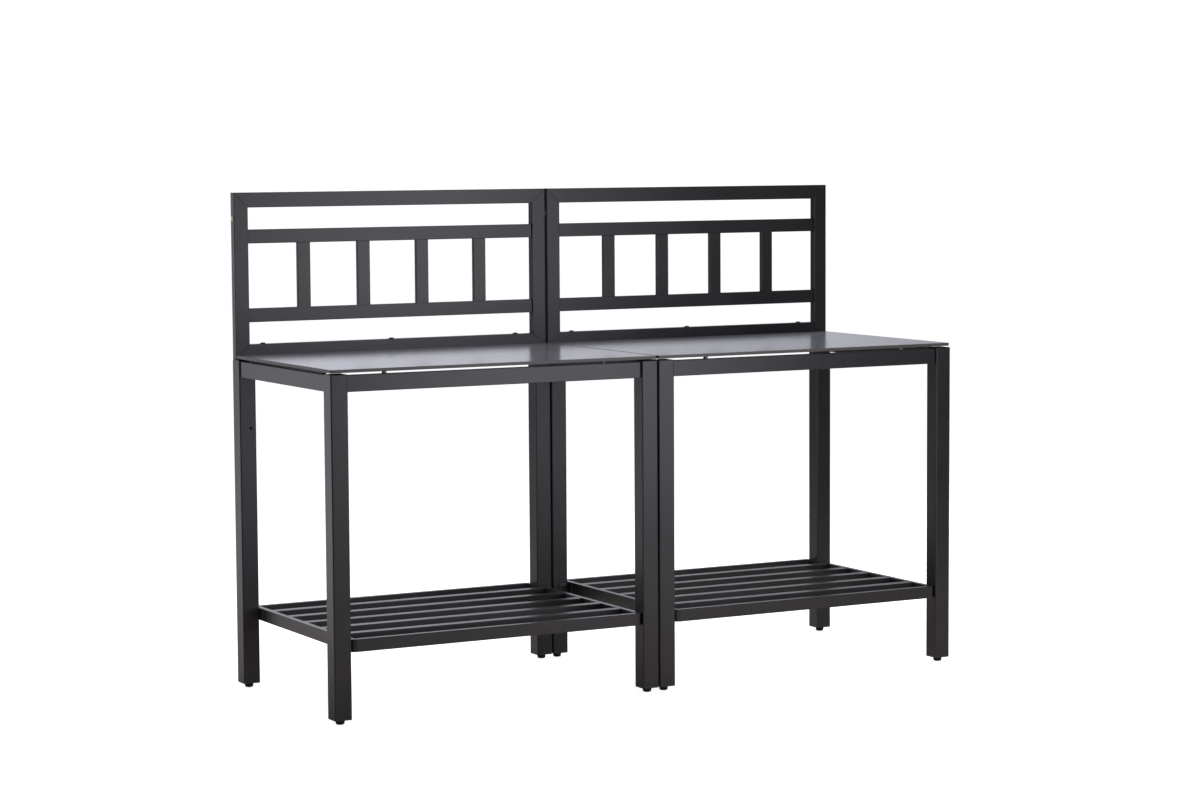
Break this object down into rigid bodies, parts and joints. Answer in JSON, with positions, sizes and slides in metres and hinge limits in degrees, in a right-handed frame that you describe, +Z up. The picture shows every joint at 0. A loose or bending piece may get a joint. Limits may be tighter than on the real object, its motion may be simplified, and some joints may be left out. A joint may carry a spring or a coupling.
{
  "type": "potting bench",
  "caption": "Outdoor potting bench of two joined table modules in dark metal tube, with loose grey worktops, slatted shelves and back panels.",
  "frame": {"origin": "on the floor, under the middle of the bench", "axes": "+X to the right along the bench, +Y to the back, +Z up; the front is at -Y"},
  "size_m": [2.004, 0.7, 1.4215],
  "materials": {
    "frame_metal": "charcoal powder coat, satin, fine texture",
    "panel_metal": "charcoal powder coat, satin, fine texture",
    "shelf_metal": "charcoal powder coat, satin, fine texture",
    "worktop_glass": "grey enamelled toughened glass, semi-gloss, ground edges",
    "pad_rubber": "translucent grey silicone",
    "foot_nylon": "black moulded nylon"
  },
  "bodies": {
    "frame": {"left_module_front_left_leg": "frame_metal", "left_module_front_right_leg": "frame_metal", "left_module_rear_left_leg": "frame_metal", "left_module_rear_right_leg": "frame_metal", "left_module_front_apron": "frame_metal", "left_module_rear_apron": "frame_metal", "left_module_left_apron": "frame_metal", "left_module_right_apron": "frame_metal", "left_module_front_left_pad": "pad_rubber", "left_module_front_right_pad": "pad_rubber", "left_module_left_front_pad": "pad_rubber", "left_module_left_rear_pad": "pad_rubber", "left_module_right_front_pad": "pad_rubber", "left_module_right_rear_pad": "pad_rubber", "left_module_panel_top_rail": "panel_metal", "left_module_panel_bottom_rail": "panel_metal", "left_module_panel_left_stile": "panel_metal", "left_module_panel_right_stile": "panel_metal", "left_module_panel_ladder": "panel_metal", "left_module_shelf_frame": "shelf_metal", "left_module_shelf_slat_1": "shelf_metal", "left_module_shelf_slat_2": "shelf_metal", "left_module_shelf_slat_3": "shelf_metal", "left_module_shelf_slat_4": "shelf_metal", "left_module_shelf_slat_5": "shelf_metal", "right_module_front_left_leg": "frame_metal", "right_module_front_right_leg": "frame_metal", "right_module_rear_left_leg": "frame_metal", "right_module_rear_right_leg": "frame_metal", "right_module_front_apron": "frame_metal", "right_module_rear_apron": "frame_metal", "right_module_left_apron": "frame_metal", "right_module_right_apron": "frame_metal", "right_module_front_left_pad": "pad_rubber", "right_module_front_right_pad": "pad_rubber", "right_module_left_front_pad": "pad_rubber", "right_module_left_rear_pad": "pad_rubber", "right_module_right_front_pad": "pad_rubber", "right_module_right_rear_pad": "pad_rubber", "right_module_panel_top_rail": "panel_metal", "right_module_panel_bottom_rail": "panel_metal", "right_module_panel_left_stile": "panel_metal", "right_module_panel_right_stile": "panel_metal", "right_module_panel_ladder": "panel_metal", "right_module_shelf_frame": "shelf_metal", "right_module_shelf_slat_1": "shelf_metal", "right_module_shelf_slat_2": "shelf_metal", "right_module_shelf_slat_3": "shelf_metal", "right_module_shelf_slat_4": "shelf_metal", "right_module_shelf_slat_5": "shelf_metal"},
    "left_module_worktop": {"left_module_worktop": "worktop_glass"},
    "right_module_worktop": {"right_module_worktop": "worktop_glass"},
    "left_module_front_left_foot": {"left_module_front_left_foot": "foot_nylon"},
    "left_module_front_right_foot": {"left_module_front_right_foot": "foot_nylon"},
    "left_module_rear_left_foot": {"left_module_rear_left_foot": "foot_nylon"},
    "left_module_rear_right_foot": {"left_module_rear_right_foot": "foot_nylon"},
    "right_module_front_left_foot": {"right_module_front_left_foot": "foot_nylon"},
    "right_module_front_right_foot": {"right_module_front_right_foot": "foot_nylon"},
    "right_module_rear_left_foot": {"right_module_rear_left_foot": "foot_nylon"},
    "right_module_rear_right_foot": {"right_module_rear_right_foot": "foot_nylon"}
  },
  "joints": [
    {"name": "left_module_worktop_lift", "type": "slide", "parent": "frame", "child": "left_module_worktop", "axis": [0, 0, 1], "range_m": [0, 0.06]},
    {"name": "right_module_worktop_lift", "type": "slide", "parent": "frame", "child": "right_module_worktop", "axis": [0, 0, 1], "range_m": [0, 0.06]},
    {"name": "left_module_front_left_foot_level", "type": "slide", "parent": "frame", "child": "left_module_front_left_foot", "axis": [0, 0, -1], "range_m": [0, 0.015]},
    {"name": "left_module_front_right_foot_level", "type": "slide", "parent": "frame", "child": "left_module_front_right_foot", "axis": [0, 0, -1], "range_m": [0, 0.015]},
    {"name": "left_module_rear_left_foot_level", "type": "slide", "parent": "frame", "child": "left_module_rear_left_foot", "axis": [0, 0, -1], "range_m": [0, 0.015]},
    {"name": "left_module_rear_right_foot_level", "type": "slide", "parent": "frame", "child": "left_module_rear_right_foot", "axis": [0, 0, -1], "range_m": [0, 0.015]},
    {"name": "right_module_front_left_foot_level", "type": "slide", "parent": "frame", "child": "right_module_front_left_foot", "axis": [0, 0, -1], "range_m": [0, 0.015]},
    {"name": "right_module_front_right_foot_level", "type": "slide", "parent": "frame", "child": "right_module_front_right_foot", "axis": [0, 0, -1], "range_m": [0, 0.015]},
    {"name": "right_module_rear_left_foot_level", "type": "slide", "parent": "frame", "child": "right_module_rear_left_foot", "axis": [0, 0, -1], "range_m": [0, 0.015]},
    {"name": "right_module_rear_right_foot_level", "type": "slide", "parent": "frame", "child": "right_module_rear_right_foot", "axis": [0, 0, -1], "range_m": [0, 0.015]}
  ]
}
